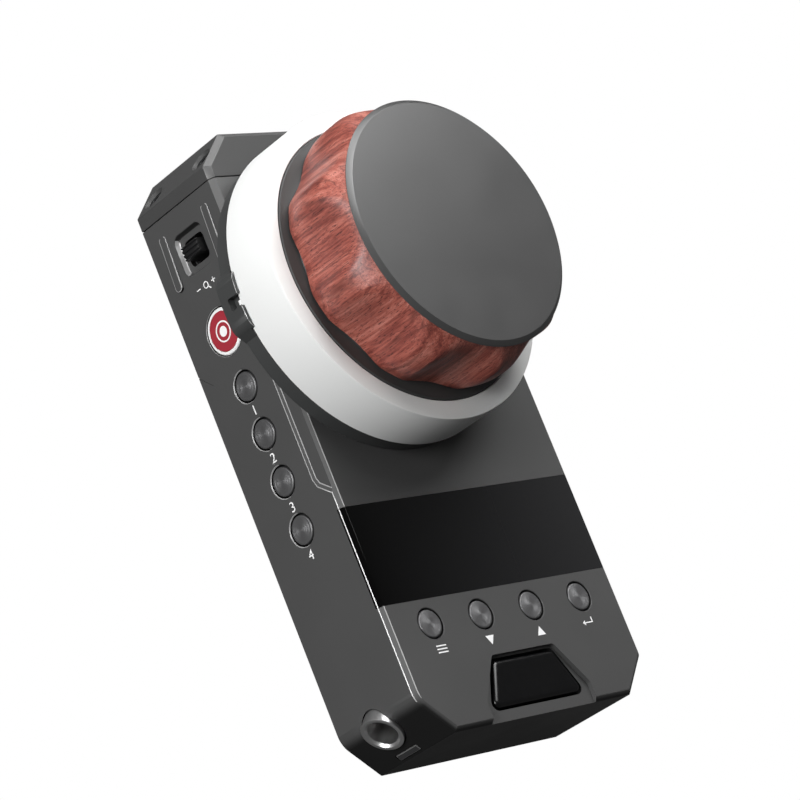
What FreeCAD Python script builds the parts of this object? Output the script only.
"""Follow focus hand unit: a parametric multi-body part, millimetres.

Frame: the unit lies on its back. +Z is the knob axis, +Y points to the top cap,
+X is to the right of someone who looks at the front. The origin is the mouth of
the tripod thread in the back cover.
"""
import FreeCAD
import Part
import Sketcher
import math
import os

VECTOR = FreeCAD.Vector
TURN = FreeCAD.Rotation

# Driving dimensions: alias, value, meaning.
DIMENSIONS = [
    ("case_half_width", 41.0, "half width of the case"),
    ("case_half_length", 81.5, "half length of the case"),
    ("case_depth", 30.0, "back plane to front plane"),
    ("wall", 3.0, "side and front wall"),
    ("foot_corner_x", 9.1, "bottom corner facet, across"),
    ("foot_corner_y", 9.45, "bottom corner facet, along"),
    ("cap_corner_x", 9.2, "top corner facet, across"),
    ("cap_corner_y", 8.8, "top corner facet, along"),
    ("front_bevel", 1.1, "bevel round the front edge"),
    ("cap_bevel", 1.5, "bevel on the front edges of the top cap"),
    ("cap_length", 12.45, "top cap, along the case"),
    ("seam_gap", 0.15, "open joint between case and top cap"),
    ("end_wall", 7.5, "case wall under the top cap"),
    ("cap_wall", 2.0, "top cap wall"),
    ("cover_thickness", 2.0, "back cover"),
    ("cover_inset", 2.0, "back cover edge to case edge"),
    ("fit_gap", 0.1, "joint between fixed parts"),
    ("press_gap", 0.3, "space round a pressed button"),
    ("screw_radius", 1.25, "shank of the small screws"),
    ("screw_head_radius", 2.4, "head of the small screws"),
    ("screw_head_height", 1.4, "head height of the small screws"),
    ("lug_from_side", 6.4, "side screw lug from the side plane"),
    ("lug_from_top", 35.3, "upper side lug from the top end"),
    ("lug_from_foot", 43.5, "lower side lug from the bottom end"),
    ("lug_half", 3.2, "half size of a screw lug"),
    ("lug_height", 10.0, "top of the screw lugs"),
    ("foot_lug_from_side", 18.0, "bottom screw lug from the side plane"),
    ("foot_lug_from_foot", 6.9, "bottom screw lug from the bottom end"),
    ("end_screw_from_side", 26.0, "end wall screws from the side plane"),
    ("end_screw_from_seam", 4.9, "end wall screws from the seam"),
    ("cap_screw_along", 5.2, "cap screw from the side corner along the facet"),
    ("cap_screw_rise", 4.7, "cap screw from front or back plane"),
    ("cap_screw_head", 3.1, "countersunk head radius"),
    ("cap_screw_rim", 0.2, "straight rim of the countersink"),
    ("cap_screw_sink", 0.5, "cap screw head below that rim"),
    ("cap_screw_length", 13.0, "cap screw length"),
    ("insert_radius", 6.0, "tripod bush outer radius"),
    ("insert_thread", 3.175, "tripod thread, quarter inch nominal"),
    ("insert_depth", 9.0, "tripod thread depth"),
    ("insert_length", 10.5, "tripod bush length"),
    ("boss_radius", 9.0, "cover boss round the tripod bush"),
    ("glass_from_foot", 33.8, "glass lower edge from the bottom end"),
    ("glass_height", 26.25, "glass, along the case"),
    ("glass_thickness", 1.8, "front glass"),
    ("display_from_side", 8.0, "display edge from the side plane"),
    ("display_margin", 2.4, "display edge inside the glass edge"),
    ("display_thickness", 3.0, "display module"),
    ("key_radius", 3.8, "front key"),
    ("key_row_from_foot", 27.4, "front key row from the bottom end"),
    ("key_inner_x", 9.1, "inner front keys"),
    ("key_outer_from_side", 14.0, "outer front keys from the side plane"),
    ("key_proud", 0.15, "front key above the front plane"),
    ("collar", 1.2, "collar that keeps a button in its hole"),
    ("collar_height", 1.3, "height of that collar"),
    ("edge_bevel", 0.35, "bevel on small moving parts"),
    ("switch_travel", 0.9, "collar to switch"),
    ("switch_height", 3.4, "tactile switch"),
    ("switch_half", 3.0, "tactile switch half size"),
    ("board", 1.6, "circuit board"),
    ("front_board_side", 9.0, "front board edge from the side plane"),
    ("front_board_upper", 4.9, "front board edge above the key row"),
    ("front_board_lower", 14.9, "front board edge below the key row"),
    ("recess_depth", 1.3, "recess round the thumb key"),
    ("recess_length", 16.7, "recess upper edge from the bottom end"),
    ("recess_shoulder", 5.1, "recess lower corners from the bottom end"),
    ("recess_top_half", 11.0, "recess half width at the top"),
    ("recess_foot_half", 18.8, "recess half width at the bottom"),
    ("thumb_length", 14.4, "thumb key upper edge from the bottom end"),
    ("thumb_from_foot", 3.9, "thumb key lower edge from the bottom end"),
    ("thumb_top_half", 10.2, "thumb key half width at the top"),
    ("thumb_foot_half", 16.0, "thumb key half width at the bottom"),
    ("thumb_sunk", 0.5, "thumb key face below the front plane"),
    ("side_row_z", 14.45, "side buttons above the back plane"),
    ("side_radius", 3.9, "side button"),
    ("side_ring", 4.6, "side button hole bevel"),
    ("side_first_drop", 15.3, "record button to first side button"),
    ("side_pitch", 13.05, "side button spacing"),
    ("record_lift", 1.2, "record button above the knob axis"),
    ("record_radius", 6.05, "record button rim"),
    ("record_disc", 5.1, "record button disc"),
    ("record_disc_height", 0.4, "disc above the rim"),
    ("side_board_over", 7.1, "side board past the record button"),
    ("side_board_under", 6.45, "side board past the last side button"),
    ("side_board_half", 8.5, "side board half height"),
    ("zoom_from_top", 24.9, "zoom recess from the top end"),
    ("zoom_z", 14.8, "zoom recess"),
    ("zoom_half", 5.75, "zoom recess half size"),
    ("zoom_corner", 2.4, "zoom recess corner"),
    ("zoom_depth", 1.5, "zoom recess depth"),
    ("slot_half_y", 3.5, "zoom slot half height"),
    ("slot_half_z", 3.7, "zoom slot half width"),
    ("lever_half_y", 1.9, "zoom lever half height"),
    ("lever_half_z", 3.1, "zoom lever half width"),
    ("lever_proud", 0.9, "zoom lever above the side wall"),
    ("lever_pivot_depth", 8.0, "zoom pivot below the side wall"),
    ("lever_hub", 2.2, "zoom lever hub radius"),
    ("pivot_radius", 1.0, "zoom pivot pin"),
    ("pivot_run", 0.03, "running fit of the zoom pivot"),
    ("guard_width", 2.6, "guard rib width"),
    ("guard_height", 0.8, "guard rib height at its blunt end"),
    ("guard_under", 7.4, "guard rib blunt end from the zoom recess"),
    ("guard_over", 8.3, "guard rib pointed end from the zoom recess"),
    ("guard_spread", 9.0, "guard rib from the zoom recess, across"),
    ("socket_along", 2.85, "socket axis from the side corner along the facet"),
    ("socket_z", 13.2, "socket axis above the back plane"),
    ("socket_radius", 5.5, "socket shell"),
    ("socket_bore", 3.95, "socket bore"),
    ("socket_proud", 0.9, "socket above the facet"),
    ("socket_length", 15.0, "socket shell length"),
    ("socket_depth", 7.3, "socket bore depth"),
    ("socket_gap", 0.3, "space round the socket"),
    ("socket_pin", 0.45, "contact hole radius"),
    ("socket_pin_ring", 2.1, "contact hole circle"),
    ("port_along", 11.4, "port cover from the side corner along the facet"),
    ("port_half", 1.1, "port cover half width"),
    ("port_low_z", 8.7, "port cover lower end"),
    ("port_high_z", 16.9, "port cover upper end"),
    ("port_depth", 2.0, "port cover depth"),
    ("knob_from_side", 30.9, "knob axis from the left side plane"),
    ("knob_from_top", 48.8, "knob axis from the top end"),
    ("base_inset", 1.05, "index ring inside the marking ring"),
    ("base_height", 5.0, "index ring"),
    ("base_bore", 19.0, "index ring bore"),
    ("tab_reach", 1.15, "index tab face outside the marking ring"),
    ("tab_gap", 0.3, "index tab to marking ring"),
    ("tab_half_angle", 8.6, "index tab half angle at its face, degrees"),
    ("tab_foot_angle", 12.6, "index tab half angle at the base ring, degrees"),
    ("tab_rise", 6.5, "index tab height"),
    ("tab_notch", 1.6, "index tab notch half width"),
    ("notch_depth", 3.9, "index tab notch depth"),
    ("ring_wall", 5.1, "marking ring wall"),
    ("ring_gap", 0.35, "marking ring above the index ring"),
    ("ring_height", 14.65, "marking ring"),
    ("ring_fit", 0.15, "marking ring on the knob flange"),
    ("ring_lip", 2.4, "ledge under the marking ring"),
    ("ring_lip_height", 1.6, "height of that ledge"),
    ("flange_radius", 37.6, "knob flange"),
    ("flange_step", 0.2, "knob flange above the marking ring"),
    ("flange_web", 3.0, "knob flange web"),
    ("flange_lift", 0.25, "knob flange foot above the marking ring edge"),
    ("flange_hub", 10.0, "knob flange hub"),
    ("flange_wall", 3.6, "knob flange wall"),
    ("grip_step", 0.6, "wood grip above the knob flange"),
    ("grip_seat_inset", 2.2, "seat under the wood grip, inside its foot"),
    ("grip_bore", 12.0, "wood grip bore"),
    ("grip_foot_inset", 2.0, "wood grip foot inside its largest radius"),
    ("grip_knee_inset", 0.6, "wood grip knee inside its largest radius"),
    ("grip_inset", 0.4, "wood grip inside the knob flange"),
    ("grip_upper_inset", 0.3, "wood grip upper edge inside its largest radius"),
    ("grip_chamfer_inset", 1.2, "wood grip chamfer inside its largest radius"),
    ("grip_top_inset", 3.6, "wood grip top inside its largest radius"),
    ("grip_knee_height", 3.2, "wood grip knee above its foot"),
    ("grip_belly_height", 11.2, "wood grip largest radius above its foot"),
    ("grip_upper_height", 15.6, "wood grip upper edge above its foot"),
    ("grip_chamfer_height", 18.2, "wood grip chamfer above its foot"),
    ("grip_height", 20.6, "wood grip"),
    ("scallop_radius", 16.0, "finger scallop"),
    ("scallop_depth", 3.6, "finger scallop below the largest radius"),
    ("scallop_count", 9.0, "number of finger scallops"),
    ("scallop_angle", 137.0, "angle of the first scallop, degrees"),
    ("cap_overlap", 0.25, "knob cap past the wood grip top"),
    ("cap_gap", 0.2, "open joint under the knob cap"),
    ("cap_height", 1.3, "knob cap rim"),
    ("cap_chamfer", 1.2, "knob cap bevel"),
    ("cap_seat_inset", 1.65, "knob cap seat inside its rim"),
    ("cap_spigot", 11.9, "knob cap spigot"),
    ("cap_spigot_length", 13.4, "knob cap spigot"),
    ("knob_screw_inset", 13.2, "knob screw circle inside the largest radius"),
    ("knob_screw_radius", 1.5, "knob screw shank"),
    ("knob_screw_head", 2.8, "knob screw head"),
    ("knob_screw_reach", 11.2, "knob screw above the grip foot"),
    ("shaft_radius", 4.0, "knob shaft"),
    ("shaft_run", 0.03, "running fit of the knob shaft"),
    ("shaft_clearance", 3.2, "knob shaft end above the back cover"),
    ("bush_wall", 2.0, "shaft bush wall"),
    ("bush_length", 8.0, "shaft bush"),
    ("bush_flange", 1.0, "shaft bush flange"),
    ("tube_radius", 10.5, "bearing tube"),
    ("tube_drop", 15.0, "bearing tube below the front plane"),
    ("tube_flange", 18.5, "bearing tube flange"),
    ("tube_flange_height", 3.0, "bearing tube flange"),
    ("tube_rise", 4.0, "bearing tube above the front plane"),
    ("clip_radius", 6.0, "retaining clip"),
    ("clip_thickness", 1.0, "retaining clip"),
    ("encoder_radius", 11.0, "encoder disc"),
    ("encoder_thickness", 1.0, "encoder disc"),
    ("encoder_lift", 6.0, "encoder disc above the back cover"),
    ("reader_half", 4.0, "encoder reader half width"),
    ("stop_inset", 4.0, "stop pin circle inside the flange hollow"),
    ("stop_radius", 1.5, "stop pin"),
    ("stop_rise", 3.2, "stop pin above the index ring"),
    ("stop_lug_angle", 26.4, "stop lug half angle, degrees"),
    ("stop_lug_gap", 0.9, "stop lug above the index ring"),
    ("base_screw_inset", 11.8, "index ring screw circle inside the ring edge"),
    ("battery_from_foot", 35.5, "battery from the bottom end"),
    ("battery_gap", 1.5, "battery to the tripod boss"),
    ("battery_side", 12.0, "battery edge from the side plane"),
    ("battery_thickness", 11.0, "battery"),
    ("main_board_lift", 3.6, "main board above the battery"),
    ("aerial_side", 17.0, "aerial edge from the side plane"),
    ("aerial_thickness", 3.0, "aerial"),
    ("aerial_height", 8.0, "aerial"),
]


class Size:
    """A length or angle that carries its number and its spreadsheet expression."""

    def __init__(self, value, text):
        self.value = float(value)
        self.text = text

    @staticmethod
    def of(item):
        """Turn a plain number into a Size; a Size stays as it is."""
        if isinstance(item, Size):
            return item
        return Size(item, "(%r)" % float(item))

    def _join(self, other, sign, value):
        return Size(value, "(%s %s %s)" % (self.text, sign, other.text))

    def __add__(self, other):
        other = Size.of(other)
        return self._join(other, "+", self.value + other.value)

    def __sub__(self, other):
        other = Size.of(other)
        return self._join(other, "-", self.value - other.value)

    def __mul__(self, other):
        other = Size.of(other)
        return self._join(other, "*", self.value * other.value)

    def __truediv__(self, other):
        other = Size.of(other)
        return self._join(other, "/", self.value / other.value)

    def __neg__(self):
        return Size(-self.value, "(0 - %s)" % self.text)

    __radd__ = __add__

    def __rsub__(self, other):
        return Size.of(other) - self

    def __rmul__(self, other):
        return self * other


def sine(angle):
    """Sine of a Size in degrees."""
    return Size(math.sin(math.radians(angle.value)), "sin(%s * 1deg)" % angle.text)


def cosine(angle):
    """Cosine of a Size in degrees."""
    return Size(math.cos(math.radians(angle.value)), "cos(%s * 1deg)" % angle.text)


def root(square):
    """Square root of a Size."""
    return Size(math.sqrt(square.value), "sqrt(%s)" % square.text)


doc = FreeCAD.newDocument("follow_focus_unit")
sheet = doc.addObject("Spreadsheet::Sheet", "Dimensions")
SHEET = {}
for row, (alias, number, meaning) in enumerate(DIMENSIONS, 1):
    sheet.set("A%d" % row, meaning)
    sheet.set("B%d" % row, str(number))
    sheet.setAlias("B%d" % row, alias)
    SHEET[alias] = Size(number, "Dimensions.%s" % alias)
doc.recompute()


def derived_sizes(sheet_sizes):
    """Places and radii that follow from the driving dimensions."""
    d = dict(sheet_sizes)
    side = d["case_half_width"]
    end = d["case_half_length"]
    front = d["case_depth"]
    d["seam_y"] = end - d["cap_length"]
    d["lug_x"] = side - d["lug_from_side"]
    d["lug_upper_y"] = end - d["lug_from_top"]
    d["lug_lower_y"] = d["lug_from_foot"] - end
    d["foot_lug_x"] = side - d["foot_lug_from_side"]
    d["foot_lug_y"] = d["foot_lug_from_foot"] - end
    d["end_screw_x"] = side - d["end_screw_from_side"]
    d["end_screw_y"] = d["seam_y"] - d["seam_gap"] - d["end_screw_from_seam"]
    d["glass_lower_y"] = d["glass_from_foot"] - end
    d["glass_upper_y"] = d["glass_lower_y"] + d["glass_height"]
    d["display_half_width"] = side - d["display_from_side"]
    d["key_row_y"] = d["key_row_from_foot"] - end
    d["key_outer_x"] = side - d["key_outer_from_side"]
    d["front_board_half"] = side - d["front_board_side"]
    d["recess_top_y"] = d["recess_length"] - end
    d["recess_shoulder_y"] = d["recess_shoulder"] - end
    d["thumb_top_y"] = d["thumb_length"] - end
    d["thumb_foot_y"] = d["thumb_from_foot"] - end
    d["thumb_top_z"] = front - d["thumb_sunk"]
    d["knob_x"] = d["knob_from_side"] - side
    d["knob_y"] = end - d["knob_from_top"]
    d["record_y"] = d["knob_y"] + d["record_lift"]
    d["side_first_y"] = d["record_y"] - d["side_first_drop"]
    d["zoom_y"] = end - d["zoom_from_top"]
    d["guard_lower_y"] = d["zoom_y"] - d["guard_under"]
    d["guard_upper_y"] = d["zoom_y"] + d["guard_over"]
    d["guard_low_z"] = d["zoom_z"] - d["guard_spread"]
    d["guard_high_z"] = d["zoom_z"] + d["guard_spread"]
    d["base_top_z"] = front + d["base_height"]
    d["ring_bore"] = d["flange_radius"] + d["ring_fit"]
    d["ring_radius"] = d["ring_bore"] + d["ring_wall"]
    d["base_radius"] = d["ring_radius"] - d["base_inset"]
    d["tab_outer"] = d["ring_radius"] + d["tab_reach"]
    d["tab_inner"] = d["ring_radius"] + d["tab_gap"]
    d["ring_low_z"] = d["base_top_z"] + d["ring_gap"]
    d["ring_high_z"] = d["ring_low_z"] + d["ring_height"]
    d["flange_top_z"] = d["ring_high_z"] + d["flange_step"]
    d["flange_low_z"] = d["ring_low_z"] + d["flange_lift"]
    d["flange_hollow"] = d["flange_radius"] - d["flange_wall"]
    d["grip_low_z"] = d["flange_top_z"] + d["grip_step"]
    d["grip_r_max"] = d["flange_radius"] - d["grip_inset"]
    for part in ("knee", "upper", "chamfer", "top"):
        d["grip_r_" + part] = d["grip_r_max"] - d["grip_%s_inset" % part]
    d["grip_r_low"] = d["grip_r_max"] - d["grip_foot_inset"]
    d["grip_seat"] = d["grip_r_low"] - d["grip_seat_inset"]
    for part in ("knee", "belly", "upper", "chamfer"):
        d["grip_%s_z" % part] = d["grip_low_z"] + d["grip_%s_height" % part]
    d["grip_top_z"] = d["grip_low_z"] + d["grip_height"]
    d["scallop_valley"] = d["grip_r_max"] - d["scallop_depth"]
    d["cap_radius"] = d["grip_r_top"] + d["cap_overlap"]
    d["cap_seat"] = d["cap_radius"] - d["cap_seat_inset"]
    d["cap_low_z"] = d["grip_top_z"] + d["cap_gap"]
    d["cap_top_z"] = d["cap_low_z"] + d["cap_height"]
    d["cap_spigot_low_z"] = d["grip_top_z"] - d["cap_spigot_length"]
    d["knob_screw_ring"] = d["grip_r_max"] - d["knob_screw_inset"]
    d["knob_screw_top_z"] = d["grip_low_z"] + d["knob_screw_reach"]
    d["shaft_low_z"] = d["cover_thickness"] + d["shaft_clearance"]
    d["encoder_z"] = d["cover_thickness"] + d["encoder_lift"]
    d["tube_low_z"] = front - d["tube_drop"]
    d["tube_top_z"] = front + d["tube_rise"]
    d["stop_ring"] = d["flange_hollow"] - d["stop_inset"]
    d["stop_top_z"] = d["base_top_z"] + d["stop_rise"]
    d["stop_lug_low_z"] = d["base_top_z"] + d["stop_lug_gap"]
    d["base_screw_ring"] = d["base_radius"] - d["base_screw_inset"]
    d["battery_low_y"] = d["battery_from_foot"] - end
    d["battery_high_y"] = -d["boss_radius"] - d["battery_gap"]
    d["battery_half"] = side - d["battery_side"]
    d["main_board_z"] = d["cover_thickness"] + d["battery_thickness"] + d["main_board_lift"]
    d["aerial_half"] = side - d["aerial_side"]
    return d


D = derived_sizes(SHEET)

NODES = []


# ---------------------------------------------------------------- helpers

def bind(item, path, size):
    """Drive one property of an object from the sheet."""
    item.setExpression(path, Size.of(size).text)


def make_body(node, base=None, rotation=None):
    """New body in its own node, placed at base (three Sizes) and turned."""
    body = doc.addObject("PartDesign::Body", node)
    body.Label = node
    body.AllowCompound = True
    base = base or (0, 0, 0)
    numbers = [Size.of(item).value for item in base]
    body.Placement = FreeCAD.Placement(VECTOR(*numbers), rotation or TURN())
    for axis, item in zip("xyz", base):
        if isinstance(item, Size):
            bind(body, "Placement.Base.%s" % axis, item)
    NODES.append(body)
    return body


def make_sketch(body, name, plane="XY_Plane", height=0):
    """Sketch on one of the body's origin planes, moved along its normal."""
    sketch = body.newObject("Sketcher::SketchObject", name)
    face = [item for item in body.Origin.OriginFeatures if item.Role == plane][0]
    sketch.AttachmentSupport = [(face, "")]
    sketch.MapMode = "FlatFace"
    size = Size.of(height)
    sketch.AttachmentOffset = FreeCAD.Placement(VECTOR(0, 0, size.value), TURN())
    if isinstance(height, Size):
        bind(sketch, "AttachmentOffset.Base.z", height)
    return sketch


def pin_point(sketch, index, end, x, y):
    """Fix a point of a sketch element at x and y from the sketch origin."""
    for kind, size in (("DistanceX", x), ("DistanceY", y)):
        size = Size.of(size)
        number = sketch.addConstraint(
            Sketcher.Constraint(kind, -1, 1, index, end, size.value))
        bind(sketch, "Constraints[%d]" % number, size)


def add_polygon(sketch, corners):
    """Closed outline through corners, each a pair of sizes."""
    count = len(corners)
    points = [VECTOR(Size.of(x).value, Size.of(y).value, 0) for x, y in corners]
    first = sketch.GeometryCount
    for index in range(count):
        following = (index + 1) % count
        sketch.addGeometry(Part.LineSegment(points[index], points[following]), False)
    for index, (x, y) in enumerate(corners):
        following = first + (index + 1) % count
        pin_point(sketch, first + index, 1, x, y)
        sketch.addConstraint(
            Sketcher.Constraint("Coincident", first + index, 2, following, 1))


def add_box(sketch, left, right, low, high):
    """Rectangle between two x and two y values."""
    add_polygon(sketch, [(left, low), (right, low), (right, high), (left, high)])


def add_round_box(sketch, centre_x, centre_y, half_x, half_y, corner):
    """Rectangle with round corners."""
    spots = [(1, 1, 0), (-1, 1, 90), (-1, -1, 180), (1, -1, 270)]
    first = sketch.GeometryCount
    arcs = []
    for sign_x, sign_y, start in spots:
        x = Size.of(centre_x) + (half_x - corner) * sign_x
        y = Size.of(centre_y) + (half_y - corner) * sign_y
        circle = Part.Circle(VECTOR(x.value, y.value, 0), VECTOR(0, 0, 1), corner.value)
        begin = math.radians(start)
        arcs.append((sketch.addGeometry(
            Part.ArcOfCircle(circle, begin, begin + math.pi / 2), False), x, y))
    for place, (arc, x, y) in enumerate(arcs):
        following = arcs[(place + 1) % len(arcs)][0]
        line = sketch.addGeometry(Part.LineSegment(
            sketch.Geometry[arc].EndPoint, sketch.Geometry[following].StartPoint), False)
        sketch.addConstraint(Sketcher.Constraint("Tangent", arc, 2, line, 1))
        sketch.addConstraint(Sketcher.Constraint("Tangent", line, 2, following, 1))
    for arc, x, y in arcs:
        pin_point(sketch, arc, 3, x, y)
    number = sketch.addConstraint(
        Sketcher.Constraint("Radius", first, corner.value))
    bind(sketch, "Constraints[%d]" % number, corner)


def add_circle(sketch, radius, x=0, y=0):
    """Circle of a driven radius round a driven centre."""
    radius = Size.of(radius)
    centre = VECTOR(Size.of(x).value, Size.of(y).value, 0)
    index = sketch.addGeometry(Part.Circle(centre, VECTOR(0, 0, 1), radius.value), False)
    number = sketch.addConstraint(Sketcher.Constraint("Radius", index, radius.value))
    bind(sketch, "Constraints[%d]" % number, radius)
    pin_point(sketch, index, 3, x, y)


def extrude(body, kind, name, sketch, length, reverse=False, both=False):
    """Pad or pocket of a sketch."""
    feature = body.newObject("PartDesign::%s" % kind, name)
    feature.Profile = sketch
    bind(feature, "Length", length)
    feature.Reversed = reverse
    if both:
        feature.Midplane = True
    sketch.Visibility = False
    body.Tip = feature
    return feature


def pad(body, name, sketch, length, reverse=False, both=False):
    """Add material along the sketch normal."""
    return extrude(body, "Pad", name, sketch, length, reverse, both)


def pocket(body, name, sketch, length, reverse=False, both=False):
    """Remove material; the default direction is against the sketch normal."""
    return extrude(body, "Pocket", name, sketch, length, reverse, both)


def revolve(body, name, corners, kind="Revolution"):
    """Turn an (r, z) outline round the body's Z axis."""
    sketch = make_sketch(body, name + "_profile", "XZ_Plane")
    add_polygon(sketch, corners)
    feature = body.newObject("PartDesign::%s" % kind, name)
    feature.Profile = sketch
    feature.ReferenceAxis = (sketch, ["V_Axis"])
    feature.Angle = 360
    sketch.Visibility = False
    body.Tip = feature
    return feature


def polar(body, name, original, count):
    """Repeat a feature round the body's Z axis."""
    pattern = body.newObject("PartDesign::PolarPattern", name)
    pattern.Originals = [original]
    axis = [item for item in body.Origin.OriginFeatures if item.Role == "Z_Axis"][0]
    pattern.Axis = (axis, [""])
    pattern.Angle = 360
    pattern.Occurrences = int(count)
    body.Tip = pattern
    return pattern


def mirror(body, name, originals, plane):
    """Repeat features on the other side of one of the body's origin planes."""
    copy = body.newObject("PartDesign::Mirrored", name)
    copy.Originals = originals
    face = [item for item in body.Origin.OriginFeatures if item.Role == plane][0]
    copy.MirrorPlane = (face, [""])
    body.Tip = copy
    return copy


def edge_work(body, kind, name, wanted, size):
    """Chamfer or fillet the edges of the tip that the wanted test accepts."""
    doc.recompute()
    base = body.Tip
    edges = []
    for index, edge in enumerate(base.Shape.Edges, 1):
        if wanted(edge):
            edges.append("Edge%d" % index)
    feature = body.newObject("PartDesign::%s" % kind, name)
    feature.Base = (base, edges)
    bind(feature, "Size" if kind == "Chamfer" else "Radius", size)
    base.Visibility = False
    body.Tip = feature
    return feature


def near(value, size, reach=0.02):
    """True when a number equals a size."""
    return abs(value - Size.of(size).value) < reach


def corner_points(edge):
    """End points of an edge."""
    return [vertex.Point for vertex in edge.Vertexes]


# ---------------------------------------------------------------- shared sizes

wide = D["case_half_width"]
long = D["case_half_length"]
deep = D["case_depth"]
wall = D["wall"]
seam = D["seam_y"]
case_top = seam - D["seam_gap"]
inner_front = deep - wall
inner_side = wide - wall
foot_length = root(D["foot_corner_x"] * D["foot_corner_x"]
                   + D["foot_corner_y"] * D["foot_corner_y"])
foot_along = (D["foot_corner_x"] / foot_length, -D["foot_corner_y"] / foot_length)
foot_out = (-D["foot_corner_y"] / foot_length, -D["foot_corner_x"] / foot_length)
cap_facet = root(D["cap_corner_x"] * D["cap_corner_x"]
                 + D["cap_corner_y"] * D["cap_corner_y"])
cap_along = (D["cap_corner_x"] / cap_facet, D["cap_corner_y"] / cap_facet)
cap_out = (-D["cap_corner_y"] / cap_facet, D["cap_corner_x"] / cap_facet)
glass_low_z = deep - D["glass_thickness"]
key_collar_z = inner_front - D["press_gap"]
key_foot_z = key_collar_z - D["collar_height"]
switch_top_z = key_foot_z - D["switch_travel"]
front_board_z = switch_top_z - D["switch_height"] - D["board"]
side_collar = wall + D["press_gap"]
side_foot = side_collar + D["collar_height"]
side_switch = side_foot + D["switch_travel"]
side_board_x = side_switch + D["switch_height"]
knob_place = (D["knob_x"], D["knob_y"], 0)
flange_under = D["flange_top_z"] - D["flange_web"]
zoom_floor = D["zoom_depth"]
cover_low_y = -long + D["cover_inset"]
cover_half = wide - D["cover_inset"]
recess_floor = deep - D["recess_depth"]
KEY_SPOTS = [
    ("menu_key", -D["key_outer_x"]),
    ("down_key", -D["key_inner_x"]),
    ("up_key", D["key_inner_x"]),
    ("enter_key", D["key_outer_x"]),
]
SIDE_SPOTS = []
for place in range(4):
    SIDE_SPOTS.append(("side_button_%d" % (place + 1),
                       D["side_first_y"] - D["side_pitch"] * place))
COVER_SCREWS = [
    (D["lug_x"], D["lug_upper_y"]),
    (-D["lug_x"], D["lug_upper_y"]),
    (D["lug_x"], D["lug_lower_y"]),
    (-D["lug_x"], D["lug_lower_y"]),
    (D["foot_lug_x"], D["foot_lug_y"]),
    (-D["foot_lug_x"], D["foot_lug_y"]),
    (D["end_screw_x"], D["end_screw_y"]),
    (-D["end_screw_x"], D["end_screw_y"]),
]


def facet_turn(direction):
    """Rotation that takes local Z to a direction in the XY plane, local X stays level."""
    angle = math.degrees(math.atan2(direction[1].value, direction[0].value))
    return TURN(VECTOR(0, 0, 1), angle).multiply(TURN(VECTOR(0, 1, 0), 90))


SIDE_TURN = TURN(VECTOR(0, 1, 0), -90)


# ---------------------------------------------------------------- case

def build_case():
    """Milled shell with front wall, side walls, end wall and screw lugs."""
    body = make_body("main_housing")
    outline = make_sketch(body, "case_outline")
    add_polygon(outline, [
        (-wide, case_top), (-wide, -long + D["foot_corner_y"]),
        (-wide + D["foot_corner_x"], -long), (wide - D["foot_corner_x"], -long),
        (wide, -long + D["foot_corner_y"]), (wide, case_top)])
    pad(body, "case_block", outline, deep)

    def front_rim(edge):
        ends = corner_points(edge)
        flat = all(near(point.z, deep) for point in ends)
        return flat and not all(near(point.y, case_top) for point in ends)

    edge_work(body, "Chamfer", "case_bevel", front_rim, D["front_bevel"])
    hollow = make_sketch(body, "hollow_outline", height=D["cover_thickness"])
    corner_x = D["foot_corner_x"]
    corner_y = D["foot_corner_y"]
    add_polygon(hollow, [
        (-inner_side, case_top - D["end_wall"]), (-inner_side, -long + corner_y + wall / 2),
        (-wide + corner_x + wall / 2, -long + wall), (wide - corner_x - wall / 2, -long + wall),
        (inner_side, -long + corner_y + wall / 2), (inner_side, case_top - D["end_wall"])])
    pocket(body, "hollow", hollow, inner_front - D["cover_thickness"], reverse=True)
    rebate = make_sketch(body, "rebate_outline")
    inset = D["cover_inset"]
    add_polygon(rebate, [
        (-wide + inset, case_top - inset), (-wide + inset, -long + corner_y + inset / 2),
        (-wide + corner_x + inset / 2, -long + inset),
        (wide - corner_x - inset / 2, -long + inset),
        (wide - inset, -long + corner_y + inset / 2), (wide - inset, case_top - inset)])
    pocket(body, "rebate", rebate, D["cover_thickness"], reverse=True)
    build_case_lugs(body)
    build_case_front(body)
    build_case_side(body)
    build_case_facet(body)
    screws = make_sketch(body, "cover_screw_spots", height=D["cover_thickness"])
    for x, y in COVER_SCREWS:
        add_circle(screws, D["screw_radius"] + D["fit_gap"] / 2, x, y)
    pocket(body, "cover_screw_holes", screws, D["lug_height"] - wall, reverse=True)
    shank = D["screw_radius"] + D["fit_gap"] / 2
    turn_cap_screws(body, "Groove", "tapped", shank, shank * 1.02, 1, D["cap_screw_rim"])
    return body


def build_case_lugs(body):
    """Lugs for the cover screws, joined to the walls."""
    lugs = make_sketch(body, "lug_outline", height=D["cover_thickness"])
    half = D["lug_half"]
    for sign in (-1, 1):
        for y in (D["lug_upper_y"], D["lug_lower_y"]):
            edges = sorted([(D["lug_x"] - half) * sign, inner_side * sign],
                           key=lambda item: item.value)
            add_box(lugs, edges[0], edges[1], y - half, y + half)
        x = D["foot_lug_x"] * sign
        add_box(lugs, x - half, x + half, -long + wall, D["foot_lug_y"] + half)
    pad(body, "lugs", lugs, D["lug_height"] - D["cover_thickness"])


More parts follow.
